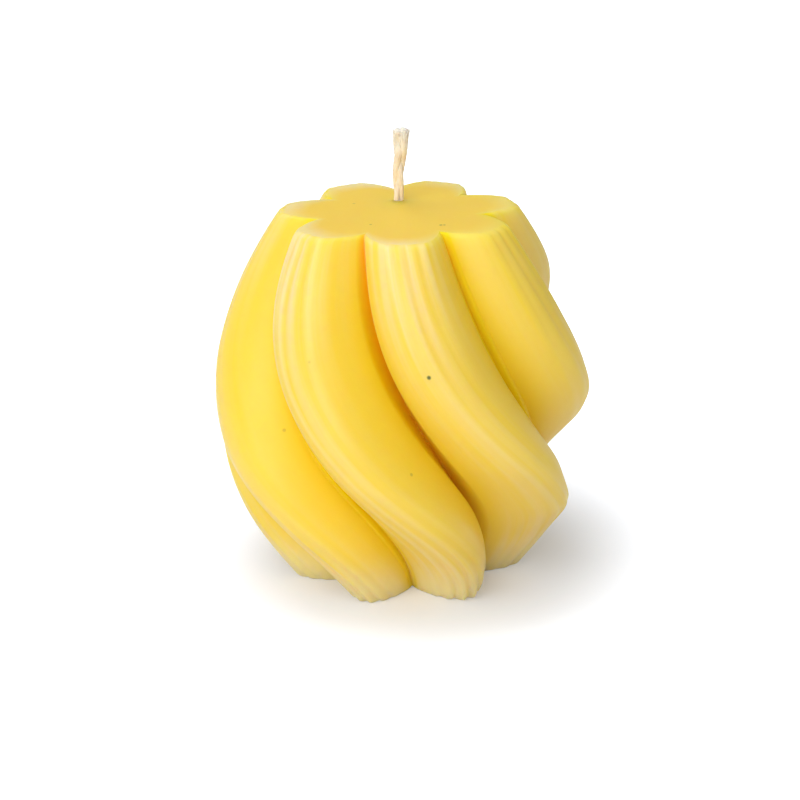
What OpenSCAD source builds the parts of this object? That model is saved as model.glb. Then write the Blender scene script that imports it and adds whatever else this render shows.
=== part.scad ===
// Twisted beeswax pillar candle: a cast body of swept lobes around a plaited cotton wick.
// Millimetres, +Z up, origin at the centre of the flat base. The photographed front faces -Y.

/* [Wax body] */
// Height of the wax from its base to its flat top
wax_height = 57.15; // [46:0.05:75]
// Number of lobes around the body
lobe_count = 7; // [5:1:9]
// Radius over the lobe crests at the base
base_radius = 17; // [14:0.1:22]
// Radius over the lobe crests at the belly
belly_radius = 29.7; // [24:0.1:36]
// Radius over the lobe crests at the flat top
top_radius = 18; // [14:0.1:22]
// Height of the belly above the base
belly_height = 24; // [18:0.5:32]
// Rounding of the edge around the flat top
top_edge = 0.5; // [0.3:0.1:2]
// Rounding of the edge around the base
base_edge = 0.6; // [0.2:0.1:1.5]

/* [Lobe section] */
// Depth of the grooves between the lobes at the belly
groove_depth = 10.5; // [5:0.1:12]
// Depth of the grooves at the flat top
top_groove_depth = 5; // [3:0.1:8]
// Depth of the grooves at the base
base_groove_depth = 6.2; // [3:0.1:8]
// Depth of the slot along the floor of each groove, at the belly
slot_depth = 2.6; // [0:0.1:6]
// Width of that slot
slot_width = 2; // [1:0.1:3]
// Roundness of a lobe across its crest at the belly, where a low value makes straight flanks
belly_roundness = 1.2; // [0.4:0.05:2]
// Roundness of a lobe across its crest at the flat top and at the base
end_roundness = 0.25; // [0.05:0.05:1]
// Fullness of a lobe beside the groove
flank_power = 0.88; // [0.6:0.02:1.2]

/* [Fine ridges] */
// Number of fine ridges along each crest
ridge_count = 6; // [3:1:7]
// Width of the ridged band across a lobe, at the belly
ridge_band = 18; // [8:0.5:20]
// Height of the fine ridges at the belly
ridge_height = 0.15; // [0:0.05:0.6]
// Height of the fine ridges at the flat top
top_ridge_height = 0.25; // [0:0.05:0.8]
// Height of the fine ridges at the base
base_ridge_height = 0.8; // [0:0.05:1]
// Shift of the ridged band off the crest at the belly, as a share of half a lobe
ridge_shift = -0.1; // [-0.2:0.05:0.2]

/* [Sweep of the lobes] */
// Direction of the front lobe at the top, in degrees from +X
lobe_direction = -87.5; // [-180:0.5:180]
// Turn of the lobes a quarter of the way down
turn_quarter = 10.5; // [0:0.5:22]
// Turn of the lobes half way down
turn_half = 31; // [15:0.5:45]
// Turn of the lobes three quarters of the way down
turn_three_quarters = 59.5; // [35:0.5:75]
// Turn of the lobes at the base
turn_base = 80; // [50:0.5:110]

/* [Pressed and swollen places] */
// Which lobe was pressed in near its foot as the warm casting was lifted, counted from the front one
pressed_lobe = 1; // [0:1:4]
// Depth that its crest was pressed in
press_depth = 5; // [0:0.1:6]
// Height of the pressed place above the base
press_height = 17; // [12:0.5:30]
// Reach of the pressed place up and down the lobe
press_reach = 8.5; // [4:0.5:12]
// Which lobe was dented higher up, counted from the front one
dented_lobe = 2; // [0:1:4]
// Depth of its dent
dent_depth = 2; // [0:0.1:4]
// Height of the dent above the base
dent_height = 39; // [30:0.5:48]
// Reach of the dent up and down the lobe
dent_reach = 5; // [3:0.5:9]
// Which lobe swells out below the belly, counted from the front one
swollen_lobe = 0; // [0:1:4]
// How far its crest swells out
swell_rise = 0.8; // [0:0.1:2]
// Height of the swelling above the base
swell_height = 14; // [8:0.5:24]
// Reach of the swelling up and down the lobe
swell_reach = 3.5; // [2:0.5:9]
// Which lobe has the longest foot, counted from the front one
long_foot_lobe = 6; // [0:1:8]
// How much longer that foot is
long_foot_rise = 1; // [0:0.1:2]
// How far up the lobe it is longer
long_foot_reach = 6; // [2:0.5:9]

/* [Wick] */
// Height of the wick's tail above the wax
wick_tail = 11.5; // [6:0.5:20]
// Distance of the wick behind the middle of the body
wick_setback = 5.5; // [0:0.1:6]
// Radius of one cotton strand
strand_radius = 0.27; // [0.2:0.01:0.4]
// Space between neighbouring strands
strand_gap = 0.08; // [0.06:0.01:0.2]
// Space between the plait and the wax around it
channel_gap = 0.1; // [0.05:0.01:0.3]
// Length of wick in which a strand crosses the plait and comes back
plait_pitch = 18; // [9:0.5:30]
// How far the tip of the tail leans to the right
tip_lean = 0.8; // [-2:0.1:2]
// How many times wider the loosened tip is than the plait
tip_spread = 1.8; // [1:0.1:2]

/* [Hidden] */

wax_color = [0.95, 0.79, 0.33];
cotton_color = [0.95, 0.90, 0.79];

// Mesh counts: bands up the body, points down each flank, rings a plait pitch, sides of a strand and of the
// channel
body_bands = 26;
flank_points = 3;
rings_per_pitch = 24;
strand_sides = 6;
channel_sides = 48;

// Curve of the body above and below the belly, and of the change in its section towards the ends
upper_power = 2;
lower_power = 1.6;
section_power = 2;

// Share of a slot's width that is its flat floor
slot_floor = 0.5;

// How the tail's lean and the loosening of its tip grow towards the top
lean_power = 2;
loose_power = 2;

// A plait of three strands is a figure of eight in plan. Its width is a fixed share of its depth, and the
// strands come closest, and reach furthest from the middle, at these shares of its half depth.
strand_count = 3;
plait_shape = 1.375;
plait_closest = 2 * sin(180 / strand_count) * sqrt(pow(plait_shape, 2) / 2 - pow(plait_shape, 4) / 16);
plait_reach = (pow(plait_shape, 2) + 4) / 4;
plait_half_depth = (2 * strand_radius + strand_gap) / plait_closest;
plait_half_width = plait_shape * plait_half_depth;
channel_radius = plait_reach * plait_half_depth + strand_radius + channel_gap;

wick_top = wax_height + wick_tail;
lobe_pitch = 360 / lobe_count;
through = 1;

// How far height z is from the belly, from 0 there to 1 at the flat top and at the base
function end_share(z) =
    z > belly_height ? (z - belly_height) / (wax_height - belly_height) : (belly_height - z) / belly_height;

// Radius over the crests at height z: two curves that meet level at the belly
function crest_radius(z) =
    z > belly_height
        ? belly_radius - (belly_radius - top_radius) * pow(end_share(z), upper_power)
        : belly_radius - (belly_radius - base_radius) * pow(end_share(z), lower_power);

// A size of the section at height z, from its values at the belly, at the flat top and at the base
function section_size(z, belly, top, base) =
    belly + ((z > belly_height ? top : base) - belly) * pow(end_share(z), section_power);

// Share of station i in the smooth curve through n evenly spaced stations, at place s from 0 to 1
function station_share(i, n, s, j = 0) =
    j == n ? 1
    : (j == i ? 1 : (s * (n - 1) - j) / (i - j)) * station_share(i, n, s, j + 1);

// Turn of the lobes at height z, through the stations from the top down to the base
function turn(z) =
    let (stations = [0, turn_quarter, turn_half, turn_three_quarters, turn_base], n = len(stations))
    [for (i = [0 : n - 1]) stations[i] * station_share(i, n, 1 - z / wax_height)] * [for (i = [1 : n]) 1];

// Places across a lobe, from -1 in the middle of one groove to 1 in the next: the slot, the flank, the ridged
// band with a point on each ridge and one beside it, the other flank and the other slot
band_share = ridge_band / 2 / (PI * belly_radius / lobe_count);
slot_share = slot_width / 2 / (PI * (belly_radius - groove_depth) / lobe_count);
flank_share = 1 - band_share - slot_share;
lobe_places = concat(
    [-1, -1 + slot_floor * slot_share],
    [for (i = [0 : flank_points]) -1 + slot_share + flank_share * (1 - cos(90 * i / (flank_points + 1)))],
    [for (i = [0 : 2 * ridge_count]) band_share * (i / ridge_count - 1)],
    [for (i = [flank_points : -1 : 0]) 1 - slot_share - flank_share * (1 - cos(90 * i / (flank_points + 1)))],
    [1 - slot_floor * slot_share]);

// The same place with the ridged band shifted at height z, while the slots and both ends stay as they are
function shifted(place, z) =
    place + section_size(z, ridge_shift, 0, 0) * max(0, 1 - pow(place / (1 - slot_share), 2));

// Fall from the crest at place t of a section with straight flanks and a rounded crest
function crest_fall(t, roundness) = sqrt(pow(t, 2) + pow(roundness, 2)) - roundness;

// Height above the groove, from 0 in the groove to 1 on the crest
function lobe_share(t, z) =
    let (roundness = section_size(z, belly_roundness, end_roundness, end_roundness))
    pow(1 - crest_fall(t, roundness) / crest_fall(1, roundness), flank_power);

// Fine ridges at a place before the shift, which fade out towards both edges of the band
function ridge(place, z) =
    let (run = ridge_count * (place + band_share) / (2 * band_share),
         strength = max(0, 1 - pow(place / band_share, 2)))
    section_size(z, ridge_height, top_ridge_height, base_ridge_height) * strength * (1 - cos(360 * run)) / 2;

// Depth of the slot at place t, which runs out towards both ends of the body
function slot(t, z) =
    let (wall = slot_share * (1 - slot_floor), inside = (abs(t) - 1 + slot_share) / wall)
    section_size(z, slot_depth, 0, 0) * max(0, min(1, inside));

// A smooth hollow of a depth and a reach around height middle, at height z
function hollow(z, depth, middle, reach) = depth * exp(-pow((z - middle) / reach, 2));

// How far the crest of a lobe is pressed in at height z, less than 0 where it swells out
function press(lobe, z) =
    (lobe == pressed_lobe ? hollow(z, press_depth, press_height, press_reach) : 0)
    + (lobe == dented_lobe ? hollow(z, dent_depth, dent_height, dent_reach) : 0)
    - (lobe == swollen_lobe ? hollow(z, swell_rise, swell_height, swell_reach) : 0)
    - (lobe == long_foot_lobe ? hollow(z, long_foot_rise, 0, long_foot_reach) : 0);

function body_radius(lobe, place, z) =
    let (groove = section_size(z, groove_depth, top_groove_depth, base_groove_depth),
         t = shifted(place, z),
         share = lobe_share(t, z))
    crest_radius(z) - groove * (1 - share) - press(lobe, z) * share + ridge(place, z) - slot(t, z);

// One level outline of the body at height z, drawn in by inset
function body_ring(z, inset) = [
    for (lobe = [0 : lobe_count - 1], place = lobe_places)
        let (angle = lobe_direction + turn(z) + (lobe + shifted(place, z) / 2) * lobe_pitch,
             radius = body_radius(lobe, place, z) - inset)
        [radius * cos(angle), radius * sin(angle), z]
];

// Faces of a skin of rings, each of n points, closed at both ends
function skin_faces(rings, n) = concat(
    [[for (i = [0 : n - 1]) i]],
    [for (k = [0 : rings - 2], i = [0 : n - 1])
        let (j = (i + 1) % n)
        each [[k * n + i, k * n + n + i, k * n + n + j], [k * n + i, k * n + n + j, k * n + j]]],
    [[for (i = [n - 1 : -1 : 0]) (rings - 1) * n + i]]);

module skin(rings) {
    polyhedron(
        points = [for (ring = rings) each ring],
        faces = skin_faces(len(rings), len(rings[0])));
}

// Levels of the body as [height, inset]: rounded in at the base and at the flat top
half_round = 1 - sin(45);
body_levels = concat(
    [[0, base_edge], [base_edge * half_round, base_edge * half_round]],
    [for (i = [0 : body_bands]) [base_edge + i * (wax_height - top_edge - base_edge) / body_bands, 0]],
    [[wax_height - top_edge * half_round, top_edge * half_round], [wax_height, top_edge]]);

module wax_body() {
    color(wax_color)
        difference() {
            skin([for (level = body_levels) body_ring(level[0], level[1])]);
            translate([0, wick_setback, -through])
                cylinder(h = wax_height + 2 * through, r = channel_radius, $fn = channel_sides);
        }
}

// Share of the tail that lies below height z
function tail_share(z) = max(0, (z - wax_height) / wick_tail);

// The plait loosens towards its tip
function spread(z) = 1 + (tip_spread - 1) * pow(tail_share(z), loose_power);

// Middle of a strand at height z. The plait keeps its pitch along the whole wick.
function strand_middle(strand, z) =
    let (phase = 360 * (z / plait_pitch + strand / strand_count))
    [tip_lean * pow(tail_share(z), lean_power) + spread(z) * plait_half_width * sin(phase),
     wick_setback + spread(z) * plait_half_depth * sin(2 * phase),
     z];

function strand_ring(strand, z) = [
    for (side = [0 : strand_sides - 1])
        let (angle = 360 * side / strand_sides)
        strand_middle(strand, z) + spread(z) * strand_radius * [cos(angle), sin(angle), 0]
];

module wick_strand(strand) {
    ring_count = ceil(rings_per_pitch * wick_top / plait_pitch);
    color(cotton_color)
        skin([for (i = [0 : ring_count]) strand_ring(strand, wick_top * i / ring_count)]);
}

module wick_strand_1() { wick_strand(0); }
module wick_strand_2() { wick_strand(1); }
module wick_strand_3() { wick_strand(2); }

wax_body();
wick_strand_1();
wick_strand_2();
wick_strand_3();
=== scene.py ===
"""Visual model of a twisted beeswax pillar candle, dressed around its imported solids.

The wax is lofted ring by ring: an outline of seven ridged lobes is swept up the body, folded over the flat
top, run down the wick channel and closed under the base. The wick is three plaited cotton strands with a
frayed tip. All sizes are in metres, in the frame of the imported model: +Z up, and the front of the candle
faces -Y.
"""

from __future__ import annotations

import logging
import math
import random
from dataclasses import dataclass, field
from enum import Enum

import bmesh
import bpy
from mathutils import Matrix, Vector, noise

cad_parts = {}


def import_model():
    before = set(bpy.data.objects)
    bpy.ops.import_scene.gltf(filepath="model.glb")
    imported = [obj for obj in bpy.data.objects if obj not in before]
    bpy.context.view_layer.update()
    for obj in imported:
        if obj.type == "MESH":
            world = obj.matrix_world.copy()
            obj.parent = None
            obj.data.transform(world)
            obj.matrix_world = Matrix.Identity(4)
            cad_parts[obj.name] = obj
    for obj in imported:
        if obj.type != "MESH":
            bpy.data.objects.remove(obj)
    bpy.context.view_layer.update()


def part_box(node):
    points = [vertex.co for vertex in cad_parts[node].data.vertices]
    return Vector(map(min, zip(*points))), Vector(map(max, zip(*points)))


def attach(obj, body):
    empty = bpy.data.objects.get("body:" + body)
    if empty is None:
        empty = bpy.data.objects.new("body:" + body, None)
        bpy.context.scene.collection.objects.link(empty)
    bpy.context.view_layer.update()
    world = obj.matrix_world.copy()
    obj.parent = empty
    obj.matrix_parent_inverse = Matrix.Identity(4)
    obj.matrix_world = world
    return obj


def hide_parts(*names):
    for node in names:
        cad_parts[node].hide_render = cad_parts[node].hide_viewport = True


LOG = logging.getLogger("candle")
MM = 0.001
BODY = "root"
# How far the wick stands behind the middle of the body.
WICK_SETBACK = 5.5 * MM

Colour = tuple[float, float, float]
Spot = tuple[float, float, float]
Span = tuple[float, float]
Socket = bpy.types.NodeSocket
Shape = bmesh.types.BMesh
Edges = list[bmesh.types.BMEdge]
Points = list[bmesh.types.BMVert]


class Node(Enum):
    """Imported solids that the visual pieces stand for."""

    WAX = "wax_body"
    STRAND_1 = "wick_strand_1"
    STRAND_2 = "wick_strand_2"
    STRAND_3 = "wick_strand_3"


class FinishSlot(Enum):
    """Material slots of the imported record."""

    BEESWAX = "beeswax"
    COTTON = "cotton"


class Zone(Enum):
    """Point attributes that the finishes read."""

    CREST = "crest_share"
    ACROSS = "across_lobes"
    RIDGE = "ridge_share"
    END = "flat_end"
    # Pale bloom with a painted sheen on the lit side of the lobes.
    BLOOM_AND_SHEEN = "bloom_and_sheen_share"
    ALONG = "along_strand"
    AROUND = "around_strand"


def smooth_step(low: float, high: float, value: float) -> float:
    """Ease from 0 to 1 between two values.

    Args:
        low: Value where the step starts.
        high: Value where the step ends.
        value: Value to place on the step.

    Returns:
        A share from 0 to 1.
    """
    share = min(1.0, max(0.0, (value - low) / (high - low)))
    return share * share * (3.0 - 2.0 * share)


def extrude_ring(bm: Shape, ring: Edges) -> tuple[Edges, Points]:
    """Extrude a closed ring of edges once, in place.

    Args:
        bm: The shape that holds the ring.
        ring: Edges of the open end.

    Returns:
        The new ring's edges and its vertices.
    """
    made = bmesh.ops.extrude_edge_only(bm, edges=ring)["geom"]
    points = [item for item in made if isinstance(item, bmesh.types.BMVert)]
    fresh = set(points)
    edges = [
        item for item in made
        if isinstance(item, bmesh.types.BMEdge) and item.verts[0] in fresh and item.verts[1] in fresh
    ]
    return edges, points


def finish_mesh(bm: Shape, name: str, material: bpy.types.Material) -> bpy.types.Object:
    """Turn a bmesh into a smooth-shaded object at the origin, and free the bmesh.

    Args:
        bm: The finished shape, in its place in the frame.
        name: Name for the object and its mesh.
        material: Material of the whole piece.

    Returns:
        The linked object.
    """
    bmesh.ops.recalc_face_normals(bm, faces=bm.faces)
    mesh = bpy.data.meshes.new(name)
    bm.to_mesh(mesh)
    bm.free()
    mesh.polygons.foreach_set("use_smooth", [True] * len(mesh.polygons))
    mesh.materials.append(material)
    piece = bpy.data.objects.new(name, mesh)
    bpy.context.scene.collection.objects.link(piece)
    return piece


class NodeSketch:
    """A material that is drawn node by node."""

    def __init__(self, name: str) -> None:
        """Start a material with a Principled shader.

        Args:
            name: Name of the material.
        """
        self.material = bpy.data.materials.new(name)
        self.material.use_nodes = True
        self.tree = self.material.node_tree
        self.shader = self.tree.nodes["Principled BSDF"]
        self.place = self.tree.nodes.new("ShaderNodeTexCoord").outputs["Object"]

    def feed(self, socket: Socket, value: object) -> None:
        """Link an output to a socket, or set the socket's own value."""
        if isinstance(value, Socket):
            self.tree.links.new(value, socket)
        else:
            socket.default_value = value

    def add(self, kind: str, settings: dict[str, object] | None = None, **sockets: object) -> bpy.types.Node:
        """Add a node, set its properties and feed its sockets.

        Args:
            kind: Blender's node type.
            settings: Node properties to set.
            **sockets: Values or outputs by socket name, with underscores for spaces.

        Returns:
            The new node.
        """
        node = self.tree.nodes.new(kind)
        for key, value in (settings or {}).items():
            setattr(node, key, value)
        for key, value in sockets.items():
            self.feed(node.inputs[key.replace("_", " ")], value)
        return node

    def dress(self, **sockets: object) -> None:
        """Feed the shader's sockets by name, with underscores for spaces."""
        for key, value in sockets.items():
            self.feed(self.shader.inputs[key.replace("_", " ")], value)

    def attribute(self, zone: Zone) -> Socket:
        """Read a point attribute of the piece as a number."""
        return self.add("ShaderNodeAttribute", {"attribute_name": zone.value}).outputs["Fac"]

    def height(self) -> Socket:
        """Height of the surface above the base."""
        return self.add("ShaderNodeSeparateXYZ", Vector=self.place).outputs["Z"]

    def distance(self, spot: Spot) -> Socket:
        """Distance of the surface from a point.

        Args:
            spot: The point.

        Returns:
            The distance.
        """
        node = self.add("ShaderNodeVectorMath", {"operation": "DISTANCE"})
        self.feed(node.inputs[0], self.place)
        self.feed(node.inputs[1], spot)
        return node.outputs["Value"]

    def noise(self, scale: float, detail: float = 2.0, place: Socket | None = None) -> Socket:
        """Noise from 0 to 1 over the surface, in object space unless a place is given."""
        where = self.place if place is None else place
        return self.add("ShaderNodeTexNoise", Vector=where, Scale=scale, Detail=detail).outputs["Fac"]

    def ramp(self, value: Socket, stops: list[tuple[float, Colour]]) -> Socket:
        """Colour a number along a ramp.

        Args:
            value: The number, from 0 to 1.
            stops: Places on the ramp with their linear colours.

        Returns:
            The colour.
        """
        node = self.add("ShaderNodeValToRGB", Fac=value)
        elements = node.color_ramp.elements
        while len(elements) < len(stops):
            elements.new(1.0)
        for element, (place, colour) in zip(elements, stops):
            element.position = place
            element.color = (*colour, 1.0)
        return node.outputs["Color"]

    def remap(self, value: Socket, source: Span, target: Span) -> Socket:
        """Map one range of a number smoothly onto another.

        Args:
            value: The number.
            source: Start and end of its range.
            target: Results at the start and at the end.

        Returns:
            The mapped number.
        """
        node = self.add(
            "ShaderNodeMapRange", {"interpolation_type": "SMOOTHSTEP"}, Value=value,
            From_Min=source[0], From_Max=source[1], To_Min=target[0], To_Max=target[1])
        return node.outputs["Result"]

    def mix(self, share: Socket, first: Socket, second: Colour) -> Socket:
        """Lay a colour over another by a share that varies over the surface.

        Args:
            share: Share of the second colour.
            first: Colour underneath.
            second: Linear colour on top.

        Returns:
            The mixed colour.
        """
        node = self.add("ShaderNodeMix", {"data_type": "RGBA"})
        inputs = {socket.identifier: socket for socket in node.inputs}
        self.feed(inputs["Factor_Float"], share)
        self.feed(inputs["A_Color"], first)
        self.feed(inputs["B_Color"], (*second, 1.0))
        return next(socket for socket in node.outputs if socket.identifier == "Result_Color")

    def math(self, operation: str, first: Socket | float, second: Socket | float) -> Socket:
        """Combine two numbers.

        Args:
            operation: Blender's name of the operation.
            first: First number or output.
            second: Second number or output.

        Returns:
            The result.
        """
        node = self.add("ShaderNodeMath", {"operation": operation})
        self.feed(node.inputs[0], first)
        self.feed(node.inputs[1], second)
        return node.outputs["Value"]

    def product(self, first: Socket, *others: Socket | float) -> Socket:
        """Multiply a number that varies over the surface.

        Args:
            first: The number.
            *others: Numbers or outputs to multiply it by.

        Returns:
            The product.
        """
        total = first
        for other in others:
            total = self.math("MULTIPLY", total, other)
        return total

    def bump(self, height: Socket, distance: float, strength: float) -> Socket:
        """Normal bumped from a height of 0 to 1, by the depth of the full height and a strength."""
        node = self.add("ShaderNodeBump", Height=height, Strength=strength, Distance=distance)
        return node.outputs["Normal"]


@dataclass(frozen=True)
class Speck:
    """A speck in the wax, such as a pollen grain or a pinhole."""

    place: Spot
    radius: float
    strength: float


@dataclass(frozen=True)
class BeeswaxFinish:
    """Satin, translucent yellow beeswax, with pale bloom and a painted sheen beside its crests and painted
    light at its feet.
    """

    # Linear colours, and the crest shares at which slot, groove and clear wax have theirs.
    clear: Colour = (0.98, 0.685, 0.045)
    # Pale wax bloom, which also paints a sheen of the lamp on the lit side of the lobes.
    bloom_and_sheen: Colour = (0.98, 0.74, 0.36)
    # Paler feet: painted light from the white floor.
    foot: Colour = (0.98, 0.83, 0.46)
    # The flat ends' deeper orange is a painted tint for light that passes in through them.
    flat: Colour = (0.98, 0.63, 0.066)
    # The groove and slot colours, deeper and more orange, are painted shade in the grooves.
    groove: Colour = (0.94, 0.69, 0.006)
    slot: Colour = (0.95, 0.52, 0.005)
    speck: Colour = (0.06, 0.10, 0.02)
    colour_places: tuple[float, float, float] = (0.02, 0.2, 0.6)
    # Light that enters the wax: its colour, how far it goes and its share.
    scatter: Colour = (1.0, 0.8, 0.12)
    scatter_depth: float = 5.5 * MM
    scatter_share: float = 0.9
    # Gloss from the grooves to the crests, and the roughness of the satin patches.
    refraction: float = 1.44
    gloss: Span = (0.15, 0.6)
    gloss_crest: Span = (0.2, 0.7)
    roughness: Span = (0.42, 0.52)
    patch_range: Span = (0.3, 0.7)
    patch_scale: float = 90.0
    # Fine grain over shallow dimples.
    grain_scale: float = 2600.0
    grain_depth: float = 0.03 * MM
    grain_strength: float = 0.35
    dimple_scale: float = 420.0
    dimple_gain: float = 2.0
    # Streaks of bloom and painted sheen: how many cross a lobe, how long they are and how much they thin
    # them.
    streak_count: float = 14.0
    streak_length: float = 40.0 * MM
    streak_range: Span = (0.3, 0.65)
    streak_bloom_and_sheen: Span = (0.15, 1.0)
    # Share of the bloom and painted sheen from the furrows to the ridges, and from the belly to the ends.
    ridge_bloom_and_sheen: Span = (0.75, 1.0)
    belly_middle: float = 27.0 * MM
    belly_reach: Span = (10.0 * MM, 27.0 * MM)
    belly_bloom_and_sheen: Span = (0.5, 1.0)
    # Paler feet, painted light from the white floor, on the lobes but not in the grooves.
    foot_light_reach: Span = (1.0 * MM, 10.0 * MM)
    foot_light_crest: Span = (0.25, 0.7)
    foot_light_share: float = 0.7
    # Specks: the dark core as a share of the radius, and the share that lets no light through.
    speck_core: float = 0.4
    speck_solid: float = 0.3
    specks: tuple[Speck, ...] = (
        Speck((3.9 * MM, -26.0 * MM, 39.8 * MM), 0.45 * MM, 0.95),
        Speck((6.2 * MM, -7.7 * MM, 57.1 * MM), 0.35 * MM, 0.7),
        Speck((6.7 * MM, -7.7 * MM, 57.1 * MM), 0.3 * MM, 0.6),
        Speck((-4.2 * MM, -6.7 * MM, 57.1 * MM), 0.3 * MM, 0.45),
        Speck((-6.8 * MM, 4.8 * MM, 57.1 * MM), 0.35 * MM, 0.26),
        Speck((-12.1 * MM, -15.7 * MM, 53.1 * MM), 0.4 * MM, 0.26),
        Speck((-10.8 * MM, -16.6 * MM, 51.2 * MM), 0.35 * MM, 0.26),
        Speck((-13.3 * MM, -22.4 * MM, 41.2 * MM), 0.4 * MM, 0.26),
        Speck((-17.7 * MM, -15.5 * MM, 28.1 * MM), 0.4 * MM, 0.3),
        Speck((1.1 * MM, -26.7 * MM, 25.1 * MM), 0.35 * MM, 0.3),
    )

    def material(self) -> bpy.types.Material:
        """Build the wax material.

        Returns:
            The material.
        """
        sketch = NodeSketch("beeswax")
        crest = sketch.attribute(Zone.CREST)
        height = sketch.height()
        marks = self.marks(sketch)
        # Painted shade: the colour deepens to orange down in the grooves and slots.
        stops = zip(self.colour_places, (self.slot, self.groove, self.clear))
        colour = sketch.ramp(crest, list(stops))
        # Pale bloom, with a painted sheen on the lit side of the lobes.
        colour = sketch.mix(self.bloom_and_sheen_cover(sketch, height), colour, self.bloom_and_sheen)
        # Painted light from the floor, on the lobes near the base.
        foot_light = sketch.product(
            sketch.remap(crest, self.foot_light_crest, (0.0, self.foot_light_share)),
            sketch.remap(height, self.foot_light_reach, (1.0, 0.0)))
        colour = sketch.mix(foot_light, colour, self.foot)
        # Painted tint on the flat ends, deeper orange for light that passes in through the wax.
        colour = sketch.mix(sketch.attribute(Zone.END), colour, self.flat)
        colour = sketch.mix(marks, colour, self.speck)
        patches = sketch.noise(self.patch_scale, detail=3.0)
        dimples = sketch.product(sketch.noise(self.dimple_scale), self.dimple_gain)
        relief = sketch.math("ADD", sketch.noise(self.grain_scale, detail=4.0), dimples)
        sketch.dress(
            Base_Color=colour,
            Roughness=sketch.remap(patches, self.patch_range, self.roughness),
            Normal=sketch.bump(relief, self.grain_depth, self.grain_strength),
            Subsurface_Weight=sketch.remap(marks, (0.0, self.speck_solid), (self.scatter_share, 0.0)),
            Subsurface_Radius=self.scatter,
            Subsurface_Scale=self.scatter_depth,
            IOR=self.refraction,
            Specular_IOR_Level=sketch.remap(crest, self.gloss_crest, self.gloss),
        )
        return sketch.material

    def bloom_and_sheen_cover(self, sketch: NodeSketch, height: Socket) -> Socket:
        """How much bloom and painted sheen cover the wax, in soft streaks that run along the lobes.

        Args:
            sketch: The material being built.
            height: Height above the base.

        Returns:
            The share of bloom and painted sheen, most on the ridges and towards both ends.
        """
        lay = sketch.add(
            "ShaderNodeCombineXYZ",
            X=sketch.product(sketch.attribute(Zone.ACROSS), self.streak_count),
            Y=sketch.product(height, 1.0 / self.streak_length))
        streaks = sketch.noise(1.0, detail=3.0, place=lay.outputs["Vector"])
        away = sketch.math("ABSOLUTE", sketch.math("SUBTRACT", height, self.belly_middle), 0.0)
        return sketch.product(
            sketch.attribute(Zone.BLOOM_AND_SHEEN),
            sketch.remap(sketch.attribute(Zone.RIDGE), (0.0, 1.0), self.ridge_bloom_and_sheen),
            sketch.remap(streaks, self.streak_range, self.streak_bloom_and_sheen),
            sketch.remap(away, self.belly_reach, self.belly_bloom_and_sheen))

    def marks(self, sketch: NodeSketch) -> Socket:
        """Where the dark specks lie.

        Args:
            sketch: The material being built.

        Returns:
            The share of speck over the surface, 0 on clear wax.
        """
        total: Socket | float = 0.0
        for speck in self.specks:
            span = (self.speck_core * speck.radius, speck.radius)
            mark = sketch.remap(sketch.distance(speck.place), span, (speck.strength, 0.0))
            total = sketch.math("MAXIMUM", total, mark)
        return total


@dataclass(frozen=True)
class CottonFinish:
    """Undyed cotton yarn, primed with a little wax."""

    thread: Colour = (0.92, 0.81, 0.63)
    shade: Colour = (0.80, 0.64, 0.43)
    pale: Colour = (0.95, 0.89, 0.78)
    colour_places: tuple[float, float, float] = (0.28, 0.5, 0.72)
    # Streaks of yarn around a strand and along it, with their relief and roughness.
    streaks_around: float = 9.0
    streaks_along: float = 40.0
    fibre_depth: float = 0.05 * MM
    fibre_strength: float = 0.6
    roughness: Span = (0.7, 0.9)
    rough_range: Span = (0.3, 0.7)
    sheen: float = 0.3
    # The cut tip, as shares of the strand's height, and how far it pales.
    tip_range: Span = (0.92, 1.0)
    tip_share: float = 0.8
    # Light that enters the yarn: its colour, how far it goes and its share.
    scatter: Colour = (1.0, 0.7, 0.4)
    scatter_depth: float = 0.3 * MM
    scatter_share: float = 0.25

    def material(self) -> bpy.types.Material:
        """Build the cotton material.

        Returns:
            The material.
        """
        sketch = NodeSketch("cotton")
        along = sketch.attribute(Zone.ALONG)
        lay = sketch.add(
            "ShaderNodeCombineXYZ",
            X=sketch.product(sketch.attribute(Zone.AROUND), self.streaks_around),
            Y=sketch.product(along, self.streaks_along))
        streaks = sketch.noise(1.0, detail=4.0, place=lay.outputs["Vector"])
        stops = zip(self.colour_places, (self.shade, self.thread, self.pale))
        colour = sketch.ramp(streaks, list(stops))
        at_tip = sketch.remap(along, self.tip_range, (0.0, self.tip_share))
        colour = sketch.mix(at_tip, colour, self.pale)
        sketch.dress(
            Base_Color=colour,
            Roughness=sketch.remap(streaks, self.rough_range, self.roughness),
            Normal=sketch.bump(streaks, self.fibre_depth, self.fibre_strength),
            Subsurface_Weight=self.scatter_share,
            Subsurface_Radius=self.scatter,
            Subsurface_Scale=self.scatter_depth,
            Sheen_Weight=self.sheen,
        )
        return sketch.material


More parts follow.
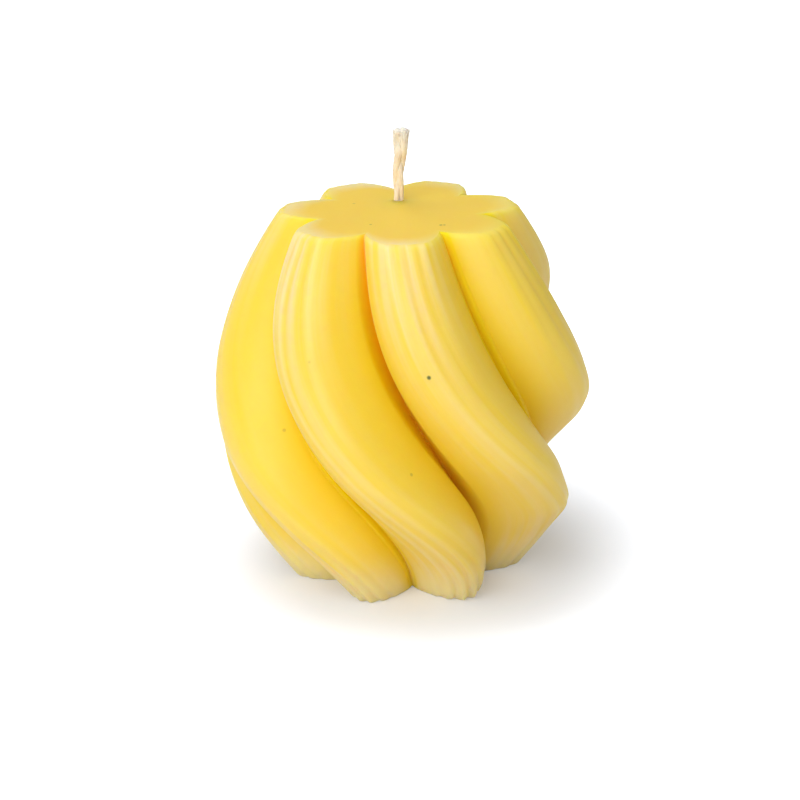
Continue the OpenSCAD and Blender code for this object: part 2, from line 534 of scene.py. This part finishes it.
@dataclass(frozen=True)
class FloorFinish:
    """Plain pale floor, which may glow more the further it is from the candle, so that the dimmer glow near
    it paints a soft shadow.
    """

    name: str
    albedo: Colour
    glow: Span | None = None
    # Middle and reach of the painted shadow, where the glow is dimmer near the candle.
    painted_shadow_middle: Spot = (4.0 * MM, 4.0 * MM, 0.0)
    painted_shadow_reach: Span = (19.0 * MM, 50.0 * MM)
    roughness: float = 0.85
    gloss: float = 0.1

    def material(self) -> bpy.types.Material:
        """Build the floor material.

        Returns:
            The material.
        """
        sketch = NodeSketch(self.name)
        sketch.dress(
            Base_Color=(*self.albedo, 1.0), Roughness=self.roughness, Specular_IOR_Level=self.gloss)
        if self.glow:
            # Painted shadow: the floor glows less near the candle.
            glow = sketch.remap(sketch.distance(self.painted_shadow_middle), self.painted_shadow_reach, self.glow)
            sketch.dress(Emission_Color=(1.0, 1.0, 1.0, 1.0), Emission_Strength=glow)
        return sketch.material


@dataclass(frozen=True)
class Hollow:
    """A place where one lobe was pressed in, or swelled out, while the casting was warm."""

    lobe: int
    depth: float
    height: float
    reach: float

    def depth_at(self, lobe: int, z: float) -> float:
        """How far the crest of a lobe lies in at a height."""
        if lobe != self.lobe:
            return 0.0
        return self.depth * math.exp(-((z - self.height) / self.reach) ** 2)


@dataclass
class LobedBody:
    """The cast wax: seven lobes swept round a barrel, with fine ridges along their crests."""

    height: float
    finish: BeeswaxFinish
    # Wick channel, and how far the wax creeps up at the wick.
    wick_setback: float = WICK_SETBACK
    channel_radius: float = 0.82 * MM
    channel_rise: float = 0.3 * MM
    # Radii over the crests, on two curves that meet at the belly.
    lobe_count: int = 7
    base_radius: float = 17.0 * MM
    belly_radius: float = 29.7 * MM
    top_radius: float = 18.0 * MM
    belly_height: float = 24.0 * MM
    upper_power: float = 2.0
    lower_power: float = 1.6
    # Grooves between the lobes, and how fast the section changes from the belly to the ends.
    groove_depth: float = 10.5 * MM
    top_groove_depth: float = 5.0 * MM
    base_groove_depth: float = 6.2 * MM
    section_power: float = 2.0
    # Slots in the grooves' floors, each with its share of the depth, and the crest share at their edges.
    slot_depth: float = 2.6 * MM
    slot_width: float = 2.0 * MM
    slot_floor: float = 0.5
    slot_gains: tuple[float, ...] = (-0.3, 0.2, 0.4, 0.4, 0.2, -0.3, 1.0)
    slot_edge: float = 0.2
    # Roundness of the crests, and the flat part of each lobe at the top.
    belly_roundness: float = 1.2
    end_roundness: float = 0.25
    flank_power: float = 0.88
    top_flat: float = 0.28
    # Fine ridges, uneven along their run; the strides keep lobes and ridges apart in the noise.
    ridge_count: int = 6
    ridge_band: float = 18.0 * MM
    ridge_height: float = 0.10 * MM
    top_ridge_height: float = 0.22 * MM
    base_ridge_height: float = 0.8 * MM
    ridge_power: float = 1.4
    ridge_shift: float = -0.1
    ridge_gain: Span = (0.7, 1.2)
    ridge_unevenness: float = 0.35
    lobe_stride: float = 7.3
    ridge_stride: float = 2.1
    # Bloom with a painted sheen: its place across a lobe, on the lit side, its width there and its strength
    # lobe by lobe, most on the lit lobes.
    bloom_and_sheen_place: float = -0.28
    bloom_and_sheen_width: float = 0.5
    end_bloom_and_sheen_width: float = 0.95
    bloom_and_sheen_gains: tuple[float, ...] = (1.05, 0.25, 0.5, 0.8, 1.3, 1.25, 1.2)
    # Sweep: direction of the front lobe at the top, and turns in degrees from the top down to the base.
    lobe_direction: float = math.radians(-87.5)
    turns: tuple[float, ...] = (0.0, 10.5, 31.0, 59.5, 80.0)
    # Uneven places, pressed in or, with a depth below 0, swelled out.
    hollows: tuple[Hollow, ...] = (
        Hollow(lobe=1, depth=5.0 * MM, height=17.0 * MM, reach=8.5 * MM),
        Hollow(lobe=2, depth=2.0 * MM, height=39.0 * MM, reach=5.0 * MM),
        Hollow(lobe=0, depth=-0.8 * MM, height=14.0 * MM, reach=3.5 * MM),
        Hollow(lobe=6, depth=-1.0 * MM, height=0.0, reach=6.0 * MM),
    )
    # Rounded edges of both flat ends, and the wobble of a hand-made casting.
    top_edge: float = 0.7 * MM
    base_edge: float = 0.6 * MM
    hand_wobble: float = 0.10 * MM
    wobble_size: float = 9.0 * MM
    # Flat ends: steps in to a round ring, then on to the wick, with the share of the rise at each step.
    inner_share: float = 0.55
    end_steps: tuple[float, ...] = (0.03, 0.1, 0.25, 0.5, 0.75, 1.0)
    wick_steps: tuple[Span, ...] = (
        (0.3, 0.0), (0.6, 0.0), (0.8, 0.04), (0.9, 0.15), (0.96, 0.45), (1.0, 1.0))
    end_crest: float = 0.6
    end_fade: float = 0.5
    # Fineness of the mesh.
    bands: int = 96
    edge_steps: int = 5
    slot_points: int = 6
    flank_points: int = 9
    points_a_ridge: int = 8
    seed: int = 11
    ridge_gains: list[list[float]] = field(init=False)

    def __post_init__(self) -> None:
        """Draw how strongly each ridge of each lobe stands out."""
        draw = random.Random(self.seed)
        self.ridge_gains = [
            [draw.uniform(*self.ridge_gain) for _ in range(self.ridge_count)] for _ in range(self.lobe_count)
        ]

    @property
    def band_share(self) -> float:
        """Half width of the ridged band as a share of half a lobe."""
        return self.ridge_band / 2.0 / (math.pi * self.belly_radius / self.lobe_count)

    @property
    def slot_share(self) -> float:
        """Half width of the slot in a groove as a share of half a lobe."""
        return self.slot_width / 2.0 / (math.pi * (self.belly_radius - self.groove_depth) / self.lobe_count)

    def places(self) -> list[float]:
        """Places across one lobe, from -1 in one groove up to the next groove.

        Returns:
            The places, close together on the ridged band and beside the groove.
        """
        steps = self.flank_points + 1
        reach = 1.0 - self.band_share - self.slot_share
        slot = [self.slot_share * i / self.slot_points for i in range(self.slot_points)]
        flank = slot + [
            self.slot_share + reach * (1.0 - math.cos(0.5 * math.pi * i / steps)) for i in range(steps)
        ]
        ridge_steps = self.ridge_count * self.points_a_ridge
        band = [self.band_share * (2.0 * i / ridge_steps - 1.0) for i in range(ridge_steps + 1)]
        return [-1.0 + step for step in flank] + band + [1.0 - step for step in reversed(flank[1:])]

    def end_share(self, z: float) -> float:
        """How far a height is from the belly, from 0 there to 1 at the flat ends."""
        if z > self.belly_height:
            return (z - self.belly_height) / (self.height - self.belly_height)
        return (self.belly_height - z) / self.belly_height

    def crest_radius(self, z: float) -> float:
        """Radius over the crests at a height: two curves that meet level at the belly.

        Args:
            z: Height above the base.

        Returns:
            The radius.
        """
        share = self.end_share(z)
        if z > self.belly_height:
            return self.belly_radius - (self.belly_radius - self.top_radius) * share ** self.upper_power
        return self.belly_radius - (self.belly_radius - self.base_radius) * share ** self.lower_power

    def section_size(self, z: float, belly: float, top: float, base: float) -> float:
        """A size of the section at a height, from its values at the belly and both ends."""
        end = top if z > self.belly_height else base
        return belly + (end - belly) * self.end_share(z) ** self.section_power

    def turn(self, z: float) -> float:
        """Turn of the lobes at a height, on the smooth curve through the stations from the top down.

        Args:
            z: Height above the base.

        Returns:
            The turn in radians.
        """
        last = len(self.turns) - 1
        place = (1.0 - z / self.height) * last
        total = 0.0
        for i, station in enumerate(self.turns):
            total += station * math.prod((place - j) / (i - j) for j in range(last + 1) if j != i)
        return math.radians(total)

    def bearing(self, lobe: int, t: float, z: float) -> float:
        """Direction of a place on a lobe at a height, in radians from +X."""
        return self.lobe_direction + self.turn(z) + (lobe + t / 2.0) * 2.0 * math.pi / self.lobe_count

    def lobe_share(self, t: float, z: float) -> float:
        """Height above the groove, on straight flanks that meet in a rounded crest, blunter towards the top.

        Args:
            t: Place across the lobe.
            z: Height above the base.

        Returns:
            The share, from 0 in the groove to 1 on the crest.
        """
        roundness = self.section_size(z, self.belly_roundness, self.end_roundness, self.end_roundness)
        flat = self.section_size(z, 0.0, self.top_flat, 0.0)
        side = max(0.0, abs(t) - flat) / (1.0 - flat)
        fall = (math.hypot(side, roundness) - roundness) / (math.hypot(1.0, roundness) - roundness)
        return max(0.0, 1.0 - fall) ** self.flank_power

    def slot_gain(self, lobe: int, t: float) -> float:
        """How deep the slot beside a place is, as a share of the deepest, and below 0 where it is filled."""
        return self.slot_gains[lobe if t > 0.0 else lobe - 1]

    def crest_share(self, lobe: int, t: float, z: float) -> float:
        """What the finish reads as height: 0 in a deep slot, a little more beside it and 1 on the crest.

        Args:
            lobe: Number of the lobe, from the front one.
            t: Place across the lobe.
            z: Height above the base.

        Returns:
            The share, from 0 to 1.
        """
        if abs(t) > 1.0 - self.slot_share:
            gain = max(0.0, self.slot_gain(lobe, t))
            return self.slot_edge * (1.0 - gain * smooth_step(1.0 - self.slot_share, 1.0, abs(t)))
        return self.slot_edge + (1.0 - self.slot_edge) * self.lobe_share(t, z)

    def bloom_and_sheen_share(self, lobe: int, t: float, z: float) -> float:
        """How much pale bloom and painted sheen lie at a place on a lobe, most of it beside the crest."""
        width = self.section_size(z, self.bloom_and_sheen_width, self.end_bloom_and_sheen_width, self.end_bloom_and_sheen_width)
        return self.bloom_and_sheen_gains[lobe] * math.exp(-((t - self.bloom_and_sheen_place) / width) ** 2)

    def shifted(self, place: float, z: float) -> float:
        """Where a place across a lobe lies once the ridged band is shifted off the crest."""
        shift = self.section_size(z, self.ridge_shift, 0.0, 0.0)
        return place + shift * max(0.0, 1.0 - (place / (1.0 - self.slot_share)) ** 2)

    def ridge_share(self, lobe: int, place: float, z: float) -> float:
        """How much of a fine ridge there is on a lobe, uneven from ridge to ridge and along each.

        Args:
            lobe: Number of the lobe, from the front one.
            place: Place across the lobe before the shift.
            z: Height above the base.

        Returns:
            The share, 0 between the ridges and about 1 along their tops.
        """
        if abs(place) >= self.band_share:
            return 0.0
        run = self.ridge_count * (place + self.band_share) / (2.0 * self.band_share)
        number = min(self.ridge_count - 1, int(run))
        stride = lobe * self.lobe_stride + number * self.ridge_stride
        uneven = noise.noise(Vector((stride, z / self.wobble_size, 0.0)))
        gain = self.ridge_gains[lobe][number] * (1.0 + self.ridge_unevenness * uneven)
        strength = 1.0 - (place / self.band_share) ** 2
        return gain * strength * abs(math.sin(math.pi * run)) ** self.ridge_power

    def ridge(self, lobe: int, place: float, z: float) -> float:
        """Height of the fine ridges at a place on a lobe before the shift."""
        height = self.section_size(z, self.ridge_height, self.top_ridge_height, self.base_ridge_height)
        return height * self.ridge_share(lobe, place, z)

    def slot(self, lobe: int, t: float, z: float) -> float:
        """Depth of the slot along the floor of a groove, which runs out towards both ends of the body.

        Args:
            lobe: Number of the lobe, from the front one.
            t: Place across the lobe.
            z: Height above the base.

        Returns:
            The depth below the groove.
        """
        inside = abs(t) - 1.0 + self.slot_share
        wall = self.slot_share * (1.0 - self.slot_floor)
        depth = self.slot_depth * self.slot_gain(lobe, t)
        return self.section_size(z, depth, 0.0, 0.0) * smooth_step(0.0, wall, inside)

    def press(self, lobe: int, z: float) -> float:
        """How far the crest of a lobe is pressed in at a height."""
        return sum(hollow.depth_at(lobe, z) for hollow in self.hollows)

    def skin_point(self, lobe: int, place: float, z: float, inset: float) -> Vector:
        """A point on the lobed skin.

        Args:
            lobe: Number of the lobe, from the front one.
            place: Place across the lobe before the shift.
            z: Height above the base.
            inset: How far the skin is drawn in at a rounded edge.

        Returns:
            The point.
        """
        groove = self.section_size(z, self.groove_depth, self.top_groove_depth, self.base_groove_depth)
        t = self.shifted(place, z)
        share = self.lobe_share(t, z)
        radius = self.crest_radius(z) - groove * (1.0 - share) - self.press(lobe, z) * share
        radius += self.ridge(lobe, place, z) - self.slot(lobe, t, z) - inset
        angle = self.bearing(lobe, t, z)
        out = Vector((math.cos(angle), math.sin(angle), 0.0))
        radius += self.hand_wobble * noise.noise((radius * out + Vector((0.0, 0.0, z))) / self.wobble_size)
        return radius * out + Vector((0.0, 0.0, z))

    def levels(self) -> list[tuple[float, float]]:
        """Heights of the rings with their insets, rounded in at the base and at the flat top.

        Returns:
            Pairs of height and inset, from the base up.
        """
        angles = [0.5 * math.pi * i / self.edge_steps for i in range(self.edge_steps + 1)]
        low = [(self.base_edge * (1.0 - math.cos(a)), self.base_edge * (1.0 - math.sin(a))) for a in angles]
        high = [
            (self.height - self.top_edge * (1.0 - math.sin(a)), self.top_edge * (1.0 - math.cos(a)))
            for a in angles
        ]
        span = self.height - self.top_edge - self.base_edge
        middle = [(self.base_edge + span * i / self.bands, 0.0) for i in range(1, self.bands)]
        return low + middle + high

    def build(self) -> bpy.types.Object:
        """Loft the body, close both ends and dress it.

        Returns:
            The wax casting.
        """
        places = self.places()
        bm = bmesh.new()
        numbers = bm.verts.layers.float
        lobe_layer = bm.verts.layers.int.new("lobe")
        place_layer = numbers.new("place")
        crest_layer = numbers.new(Zone.CREST.value)
        across_layer = numbers.new(Zone.ACROSS.value)
        ridge_layer = numbers.new(Zone.RIDGE.value)
        bloom_and_sheen_layer = numbers.new(Zone.BLOOM_AND_SHEEN.value)
        numbers.new(Zone.END.value)
        circle = bmesh.ops.create_circle(bm, segments=self.lobe_count * len(places), radius=self.base_radius)
        for index, vert in enumerate(circle["verts"]):
            vert[lobe_layer] = index // len(places)
            vert[place_layer] = places[index % len(places)]
            vert[across_layer] = vert[lobe_layer] + vert[place_layer] / 2.0
        foot = list(bm.edges)
        ring = foot
        points = circle["verts"]
        for number, (z, inset) in enumerate(self.levels()):
            if number:
                ring, points = extrude_ring(bm, ring)
            for vert in points:
                lobe = vert[lobe_layer]
                place = vert[place_layer]
                t = self.shifted(place, z)
                vert[crest_layer] = self.crest_share(lobe, t, z)
                vert[bloom_and_sheen_layer] = self.bloom_and_sheen_share(lobe, t, z)
                vert[ridge_layer] = self.ridge_share(lobe, place, z)
                vert.co = self.skin_point(lobe, place, z, inset)
        mouth = self.close_end(bm, ring, self.height, self.channel_rise)
        outlet = self.close_end(bm, foot, 0.0, 0.0)
        bmesh.ops.bridge_loops(bm, edges=mouth + outlet)
        bm.verts.layers.int.remove(bm.verts.layers.int["lobe"])
        numbers.remove(numbers["place"])
        return finish_mesh(bm, "wax_casting", self.finish.material())

    def close_end(self, bm: Shape, ring: Edges, z: float, rise: float) -> Edges:
        """Run the skin in over a flat end, from the lobed outline to a little way into the wick channel.

        Args:
            bm: The shape.
            ring: Edges of the outline.
            z: Height of the flat end.
            rise: How far the wax creeps up at the wick.

        Returns:
            Edges of the ring inside the channel.
        """
        numbers = bm.verts.layers.float
        lobe_layer = bm.verts.layers.int["lobe"]
        place_layer = numbers["place"]
        crest_layer = numbers[Zone.CREST.value]
        across_layer = numbers[Zone.ACROSS.value]
        ridge_layer = numbers[Zone.RIDGE.value]
        end_layer = numbers[Zone.END.value]
        inner = self.inner_share * self.crest_radius(z)
        wick = Vector((0.0, self.wick_setback, 0.0))
        drawn = 0.0
        for share in self.end_steps:
            ring, points = extrude_ring(bm, ring)
            step = (share - drawn) / (1.0 - drawn)
            drawn = share
            for vert in points:
                flat = Vector((vert.co.x, vert.co.y, 0.0))
                spot = flat.lerp(inner * flat.normalized(), step)
                vert[crest_layer] = self.end_crest
                vert[across_layer] = 0.0
                vert[ridge_layer] = 1.0
                vert[end_layer] = smooth_step(0.0, self.end_fade, share)
                vert.co = spot + Vector((0.0, 0.0, z))
        for share, lift in self.wick_steps:
            ring, points = extrude_ring(bm, ring)
            for vert in points:
                angle = self.bearing(vert[lobe_layer], vert[place_layer], z)
                out = Vector((math.cos(angle), math.sin(angle), 0.0))
                spot = (inner * out).lerp(wick + self.channel_radius * out, share)
                vert[end_layer] = 1.0
                vert.co = spot + Vector((0.0, 0.0, z + lift * rise))
        ring, points = extrude_ring(bm, ring)
        inward = -1.0 if z > 0.0 else 1.0
        for vert in points:
            vert.co.z = z + inward * self.channel_radius
        return ring


@dataclass
class PlaitedWick:
    """Three cotton strands, plaited from the base of the wax to a frayed tip."""

    wax_height: float
    top: float
    finish: CottonFinish
    # The plait: its place, the size of its strands and of the figure of eight that they follow.
    setback: float = WICK_SETBACK
    strand_count: int = 3
    strand_wide: float = 0.42 * MM
    strand_deep: float = 0.36 * MM
    half_width: float = 0.42 * MM
    half_depth: float = 0.28 * MM
    pitch: float = 18.0 * MM
    # The tail, which leans, loosens and fills out towards its cut tip.
    tip_lean: float = 0.8 * MM
    tip_spread: float = 1.3
    tip_fullness: float = 2.1
    tip_taper: float = 0.3
    tip_length: float = 1.2 * MM
    tip_drop: float = 0.2 * MM
    # Plies of a strand, and the fineness of its mesh.
    plies: int = 4
    ply_depth: float = 0.10
    ply_lay: float = 3.5 * MM
    sides: int = 24
    rings_a_pitch: int = 48
    run_step: float = 0.18 * MM
    # Loose fibres: where they start and end, and how they splay, drift and thin.
    fibres: int = 150
    fibre_radius: float = 0.035 * MM
    fibre_sides: int = 4
    fibre_length: float = 2.6 * MM
    fibre_steps: int = 6
    fibre_room: Span = (0.1, 1.0)
    fibre_root: Span = (0.3, 1.2)
    fibre_short: float = 0.25
    fibre_drift: float = 0.12 * MM
    fibre_splay: Span = (-0.05, 0.22)
    fibre_thinning: float = 0.85
    seed: int = 5

    def tail_share(self, z: float) -> float:
        """Share of the tail above the wax that lies below a height."""
        return max(0.0, (z - self.wax_height) / (self.top - self.wax_height))

    def loosened(self, z: float, tip: float) -> float:
        """How many times its size in the wax something is at a height, from the value at the tip."""
        return 1.0 + (tip - 1.0) * self.tail_share(z) ** 2

    def middle(self, strand: int, z: float) -> Vector:
        """Middle of a strand at a height, on the figure of eight of the plait.

        Args:
            strand: Number of the strand, from 0.
            z: Height above the base of the wax.

        Returns:
            The middle.
        """
        phase = 2.0 * math.pi * (z / self.pitch + strand / self.strand_count)
        wide = self.loosened(z, self.tip_spread)
        return Vector((
            self.tip_lean * self.tail_share(z) ** 2 + wide * self.half_width * math.sin(phase),
            self.setback + wide * self.half_depth * math.sin(2.0 * phase),
            z,
        ))

    def ring_frame(self, strand: int, z: float) -> tuple[Vector, Vector, Vector]:
        """Middle of a strand with two directions square to its run.

        Args:
            strand: Number of the strand, from 0.
            z: Height above the base of the wax.

        Returns:
            The middle, the first and the second direction.
        """
        ahead = self.middle(strand, z + self.run_step)
        run = (ahead - self.middle(strand, z - self.run_step)).normalized()
        first = Vector((0.0, 1.0, 0.0)).cross(run).normalized()
        return self.middle(strand, z), first, run.cross(first)

    def build(self) -> list[bpy.types.Object]:
        """Build the three strands.

        Returns:
            The strands in order.
        """
        material = self.finish.material()
        return [self.build_strand(strand, material) for strand in range(self.strand_count)]

    def build_strand(self, strand: int, material: bpy.types.Material) -> bpy.types.Object:
        """Build one strand of twisted plies with its frayed fibres.

        Args:
            strand: Number of the strand, from 0.
            material: The cotton.

        Returns:
            The strand.
        """
        bm = bmesh.new()
        along_layer = bm.verts.layers.float.new(Zone.ALONG.value)
        around_layer = bm.verts.layers.float.new(Zone.AROUND.value)
        circle = bmesh.ops.create_circle(bm, segments=self.sides, radius=self.strand_wide)
        for index, vert in enumerate(circle["verts"]):
            vert[around_layer] = index / self.sides
        count = math.ceil(self.rings_a_pitch * self.top / self.pitch)
        ring = list(bm.edges)
        points = circle["verts"]
        bmesh.ops.contextual_create(bm, geom=ring)
        for level in range(count + 1):
            if level:
                ring, points = extrude_ring(bm, ring)
            z = (self.top - self.tip_drop) * level / count
            for vert in points:
                turn = 2.0 * math.pi * vert[around_layer]
                ply = abs(math.cos(0.5 * self.plies * (turn - 2.0 * math.pi * z / self.ply_lay)))
                reach = (1.0 - self.ply_depth * (1.0 - ply)) * self.taper(z)
                vert[along_layer] = z / self.top
                vert.co = self.strand_point(strand, reach * math.cos(turn), reach * math.sin(turn), z)
        bmesh.ops.contextual_create(bm, geom=ring)
        self.fray(bm, strand)
        return finish_mesh(bm, f"cotton_strand_{strand + 1}", material)

    def taper(self, z: float) -> float:
        """How much of its thickness a strand keeps at a height, thinning towards the frayed tip."""
        return 1.0 - self.tip_taper * smooth_step(self.top - self.tip_length, self.top, z)

    def strand_point(self, strand: int, wide: float, deep: float, z: float) -> Vector:
        """A point in or on a strand.

        Args:
            strand: Number of the strand, from 0.
            wide: Place across the strand, from -1 to 1.
            deep: Place through the strand, from -1 to 1.
            z: Height of the ring that the point is on.

        Returns:
            The point, no lower than the base of the wax.
        """
        middle, first, second = self.ring_frame(strand, z)
        offset = wide * self.strand_wide * first + deep * self.strand_deep * second
        point = middle + self.loosened(z, self.tip_fullness) * offset
        point.z = max(0.0, point.z)
        return point

    def fray(self, bm: Shape, strand: int) -> None:
        """Add the loose fibres of the tip of a strand.

        Args:
            bm: The strand's shape.
            strand: Number of the strand, from 0.
        """
        draw = random.Random(self.seed + strand)
        for _ in range(self.fibres):
            turn = draw.uniform(0.0, 2.0 * math.pi)
            reach = math.sqrt(draw.uniform(*self.fibre_room))
            low = self.top - self.fibre_length * draw.uniform(*self.fibre_root)
            high = self.top - self.tip_drop - self.fibre_short * self.fibre_length * draw.random() ** 2
            drift = Vector((draw.gauss(0.0, self.fibre_drift), draw.gauss(0.0, self.fibre_drift), 0.0))
            splay = draw.uniform(*self.fibre_splay)
            path = []
            for step in range(self.fibre_steps):
                share = step / (self.fibre_steps - 1.0)
                out = reach * (1.0 + splay * share)
                spot = self.strand_point(
                    strand, out * math.cos(turn), out * math.sin(turn), low + (high - low) * share)
                path.append(spot + drift * share ** 2)
            self.add_fibre(bm, path, draw.random())

    def add_fibre(self, bm: Shape, path: list[Vector], around: float) -> None:
        """Add one fibre, which thins towards its end.

        Args:
            bm: The strand's shape.
            path: Points that the fibre follows.
            around: Place around the strand that its colour is read at.
        """
        along_layer = bm.verts.layers.float[Zone.ALONG.value]
        around_layer = bm.verts.layers.float[Zone.AROUND.value]
        points = bmesh.ops.create_circle(bm, segments=self.fibre_sides, radius=self.fibre_radius)["verts"]
        ring = list({edge for vert in points for edge in vert.link_edges})
        bmesh.ops.contextual_create(bm, geom=ring)
        before = Vector()
        for step, spot in enumerate(path):
            if step:
                ring, points = extrude_ring(bm, ring)
            thin = self.fibre_thinning if step else 1.0
            for vert in points:
                vert[along_layer] = spot.z / self.top
                vert[around_layer] = around
                vert.co = spot + thin * (vert.co - before)
            before = spot
        bmesh.ops.contextual_create(bm, geom=ring)


@dataclass(frozen=True)
class PhotoCamera:
    """The camera, at the photograph's distance and height."""

    distance: float = 395.0 * MM
    elevation: float = math.radians(20.1)
    pitch: float = math.radians(20.34)
    roll: float = math.radians(1.1)
    side: float = -0.35 * MM
    lens: float = 114.9
    sensor: float = 36.0

    def place(self, aim_height: float) -> None:
        """Create the camera and make it the scene's own.

        Args:
            aim_height: Height of the candle's middle.
        """
        data = bpy.data.cameras.new("photo_camera")
        data.lens = self.lens
        data.sensor_width = self.sensor
        camera = bpy.data.objects.new("photo_camera", data)
        bpy.context.scene.collection.objects.link(camera)
        across = Vector((1.0, 0.0, 0.0))
        up = Vector((0.0, math.sin(self.pitch), math.cos(self.pitch)))
        back = Vector((0.0, -math.cos(self.pitch), math.sin(self.pitch)))
        right = math.cos(self.roll) * across - math.sin(self.roll) * up
        above = math.cos(self.roll) * up + math.sin(self.roll) * across
        spot = Vector((
            self.side,
            -self.distance * math.cos(self.elevation),
            aim_height + self.distance * math.sin(self.elevation),
        ))
        columns = zip(right, above, back)
        camera.matrix_world = Matrix.Translation(spot) @ Matrix([list(row) for row in columns]).to_4x4()
        bpy.context.scene.camera = camera


@dataclass(frozen=True)
class Softbox:
    """One soft light of the studio."""

    name: str
    place: Spot
    size: float
    power: float

    def hang(self, aim: Vector) -> None:
        """Create the light and point it at the candle.

        Args:
            aim: Point to light.
        """
        data = bpy.data.lights.new(self.name, "AREA")
        data.shape = "DISK"
        data.size = self.size
        data.energy = self.power
        light = bpy.data.objects.new(self.name, data)
        light.location = self.place
        light.rotation_mode = "QUATERNION"
        light.rotation_quaternion = (aim - Vector(self.place)).to_track_quat("-Z", "Y")
        bpy.context.scene.collection.objects.link(light)


@dataclass
class Studio:
    """Pale floor, soft daylight from the front left, a top light and an even white surround.

    The camera sees one sheet of floor, and the light that comes back up at the candle comes off the other.
    """

    aim_height: float
    # The seen floor's glow paints the candle's soft shadow, and its bluish tint offsets the yellow light
    # that the candle throws on it.
    seen: FloorFinish = FloorFinish("studio_floor", (0.66, 0.70, 0.77), (0.21, 0.78))
    bounce: FloorFinish = FloorFinish("studio_bounce", (0.76, 0.68, 0.5))
    floor_half: float = 3.0
    floor_cells: int = 8
    bounce_drop: float = 0.3 * MM
    surround: float = 0.36
    softboxes: tuple[Softbox, ...] = (
        Softbox("window_light", (-0.30, -0.69, 0.54), 0.80, 5.5),
        Softbox("top_light", (-0.16, 0.26, 0.86), 0.70, 2.9),
    )

    def build(self) -> None:
        """Set the floor, the surround, the lights and the colour transform."""
        floor = self.lay(self.seen, 0.0)
        floor.visible_diffuse = False
        floor.visible_shadow = False
        under = self.lay(self.bounce, -self.bounce_drop)
        under.visible_camera = False
        world = bpy.data.worlds.new("studio_surround")
        world.use_nodes = True
        background = world.node_tree.nodes["Background"]
        background.inputs["Color"].default_value = (1.0, 1.0, 1.0, 1.0)
        background.inputs["Strength"].default_value = self.surround
        scene = bpy.context.scene
        scene.world = world
        scene.view_settings.view_transform = "Standard"
        for softbox in self.softboxes:
            softbox.hang(Vector((0.0, 0.0, self.aim_height)))

    def lay(self, finish: FloorFinish, height: float) -> bpy.types.Object:
        """Lay a sheet of floor.

        Args:
            finish: Its finish, which also names it.
            height: Height of the sheet.

        Returns:
            The sheet.
        """
        bm = bmesh.new()
        cells = self.floor_cells
        bmesh.ops.create_grid(bm, x_segments=cells, y_segments=cells, size=self.floor_half)
        bmesh.ops.translate(bm, verts=bm.verts, vec=(0.0, 0.0, height))
        sheet = finish_mesh(bm, finish.name, finish.material())
        return sheet


def carry(piece: bpy.types.Object, node: Node) -> None:
    """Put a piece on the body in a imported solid's stead and report it.

    Args:
        piece: The visual piece.
        node: The solid that it stands for.
    """
    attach(piece, BODY)
    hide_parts(node.value)
    LOG.info("%s: %d faces, stands for %s", piece.name, len(piece.data.polygons), node.value)


def main() -> None:
    """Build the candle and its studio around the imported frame."""
    logging.basicConfig(level=logging.INFO, format="%(name)s: %(message)s")
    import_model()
    wax_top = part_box(Node.WAX.value)[1].z
    wick_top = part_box(Node.STRAND_1.value)[1].z
    PhotoCamera().place(wax_top / 2.0)
    Studio(wax_top / 2.0).build()
    carry(LobedBody(wax_top, BeeswaxFinish()).build(), Node.WAX)
    strands = PlaitedWick(wax_top, wick_top, CottonFinish()).build()
    for strand, node in zip(strands, (Node.STRAND_1, Node.STRAND_2, Node.STRAND_3)):
        carry(strand, node)


if __name__ == "__main__":
    main()
